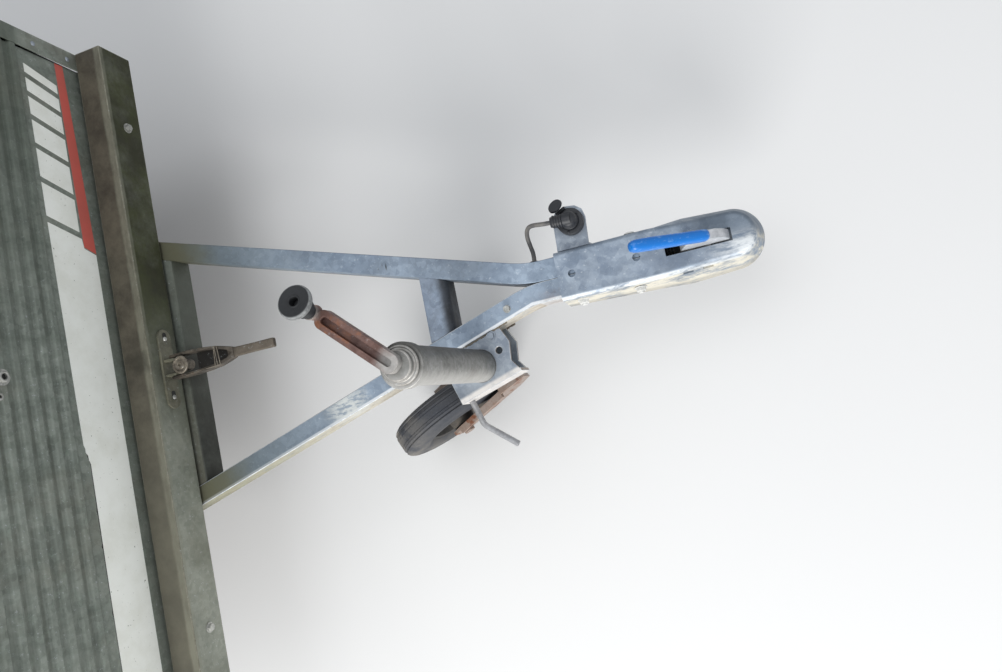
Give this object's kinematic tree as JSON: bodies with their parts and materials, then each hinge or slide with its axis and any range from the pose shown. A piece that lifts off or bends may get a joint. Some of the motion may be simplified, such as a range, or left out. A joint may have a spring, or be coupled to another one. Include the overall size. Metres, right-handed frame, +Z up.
{
  "type": "small tipping box trailer",
  "caption": "Small galvanised luggage trailer: ribbed tipping box with tailgate, V drawbar, ball coupling with lever, clamped jockey wheel, parked plug.",
  "frame": {"origin": "middle of the object's bounding box, on the ground it stands on", "axes": "+X forward to the coupling, +Y the trailer's left, +Z up; the trailer stands nose-down on its wound-up jockey wheel"},
  "size_m": [2.4994, 1.376, 0.9149],
  "materials": {
    "galvanised_frame": "hot-dip galvanised, dulled",
    "galvanised_sheet": "galvanised sheet with spangle and dust",
    "zinc_fittings": "zinc plated",
    "rusted_steel": "plated steel with surface rust",
    "jockey_steel": "zinc plated, grey",
    "wheel_steel": "silver paint",
    "tyre_rubber": "matte",
    "jockey_rubber": "matte, dusty",
    "blue_grip": "moulded plastic",
    "dark_plastic": "moulded plastic",
    "buffer_rubber": "matte",
    "cable_rubber": "satin",
    "floor_ply": "film-faced plywood",
    "lamp_red": "moulded lens",
    "plate_white": "bare plate",
    "latch_steel": "plated steel, dirty"
  },
  "bodies": {
    "chassis": {"drawbar_left": "galvanised_frame", "drawbar_right": "galvanised_frame", "front_crossmember": "galvanised_frame", "drawbar_brace": "galvanised_frame", "rest_buffers": "buffer_rubber", "axle_beam": "galvanised_frame", "tipping_ears": "galvanised_frame", "swing_arm_left": "galvanised_frame", "swing_arm_right": "galvanised_frame", "mudguard_left": "galvanised_sheet", "mudguard_right": "galvanised_sheet", "mudguard_stays": "galvanised_frame", "coupling_body": "zinc_fittings", "plug_plate": "zinc_fittings", "plug_holder": "dark_plastic", "parked_plug": "dark_plastic", "cable_gland": "buffer_rubber", "cable_loop": "cable_rubber", "jockey_bracket": "zinc_fittings", "clamp_handle": "rusted_steel", "jockey_tube": "jockey_steel"},
    "wheel_left": {"tyre_left": "tyre_rubber", "rim_left": "wheel_steel", "hub_left": "wheel_steel"},
    "wheel_right": {"tyre_right": "tyre_rubber", "rim_right": "wheel_steel", "hub_right": "wheel_steel"},
    "coupling_lever": {"coupling_handle": "zinc_fittings", "handle_grip": "blue_grip"},
    "jockey_stem": {"jockey_slide": "jockey_steel"},
    "jockey_swivel": {"jockey_fork": "rusted_steel", "jockey_axle_bolt": "rusted_steel"},
    "jockey_wheel": {"jockey_tyre": "jockey_rubber", "jockey_rim": "wheel_steel"},
    "crank": {"crank_hub": "jockey_steel", "crank_arm": "rusted_steel", "crank_knob": "dark_plastic"},
    "load_box": {"front_sill": "galvanised_sheet", "front_panel": "galvanised_sheet", "side_panel_left": "galvanised_sheet", "side_panel_right": "galvanised_sheet", "front_posts": "galvanised_sheet", "rear_posts": "galvanised_sheet", "floor_board": "floor_ply", "floor_rails": "galvanised_frame", "rear_sill": "galvanised_frame", "tipping_lugs": "galvanised_frame", "lamp_bar": "galvanised_sheet", "rear_lamps": "lamp_red", "number_plate": "plate_white", "latch_plate": "latch_steel", "box_knuckles": "zinc_fittings", "gate_catches": "latch_steel"},
    "tailgate": {"tailgate_panel": "galvanised_sheet", "gate_knuckles": "zinc_fittings"},
    "latch": {"latch_lever": "latch_steel"}
  },
  "joints": [
    {"name": "wheel_left_spin", "type": "hinge", "parent": "chassis", "child": "wheel_left", "pos_m": [-0.49114, 0.622, 0.2], "axis": [0, 1, 0], "continuous": true},
    {"name": "wheel_right_spin", "type": "hinge", "parent": "chassis", "child": "wheel_right", "pos_m": [-0.49114, -0.622, 0.2], "axis": [0, 1, 0], "continuous": true},
    {"name": "coupling_lever_lift", "type": "hinge", "parent": "chassis", "child": "coupling_lever", "pos_m": [1.16689, 0, 0.21842], "axis": [0, 1, 0], "range_deg": [-32, 0]},
    {"name": "jockey_wind_down", "type": "slide", "parent": "chassis", "child": "jockey_stem", "axis": [-0.0993, 0, -0.9951], "range_m": [0, 0.2]},
    {"name": "jockey_swivel", "type": "hinge", "parent": "jockey_stem", "child": "jockey_swivel", "pos_m": [0.82025, -0.099, 0.15872], "axis": [0.0993, 0, 0.9951], "continuous": true},
    {"name": "jockey_wheel_spin", "type": "hinge", "parent": "jockey_swivel", "child": "jockey_wheel", "pos_m": [0.70427, -0.15056, 0.11], "axis": [0.4205, -0.9063, -0.042], "continuous": true},
    {"name": "crank_turn", "type": "hinge", "parent": "chassis", "child": "crank", "pos_m": [0.85817, -0.099, 0.53866], "axis": [0.0993, 0, 0.9951], "continuous": true},
    {"name": "box_tip", "type": "hinge", "parent": "chassis", "child": "load_box", "pos_m": [-0.45415, 0, 0.36916], "axis": [0, -1, 0], "range_deg": [0, 25]},
    {"name": "tailgate_drop", "type": "hinge", "parent": "load_box", "child": "tailgate", "pos_m": [-1.22683, 0, 0.52166], "axis": [0, -1, 0], "range_deg": [0, 90]},
    {"name": "latch_lever_lift", "type": "hinge", "parent": "load_box", "child": "latch", "pos_m": [0.34964, 0.003, 0.34722], "axis": [0, -1, 0], "range_deg": [0, 95]}
  ]
}
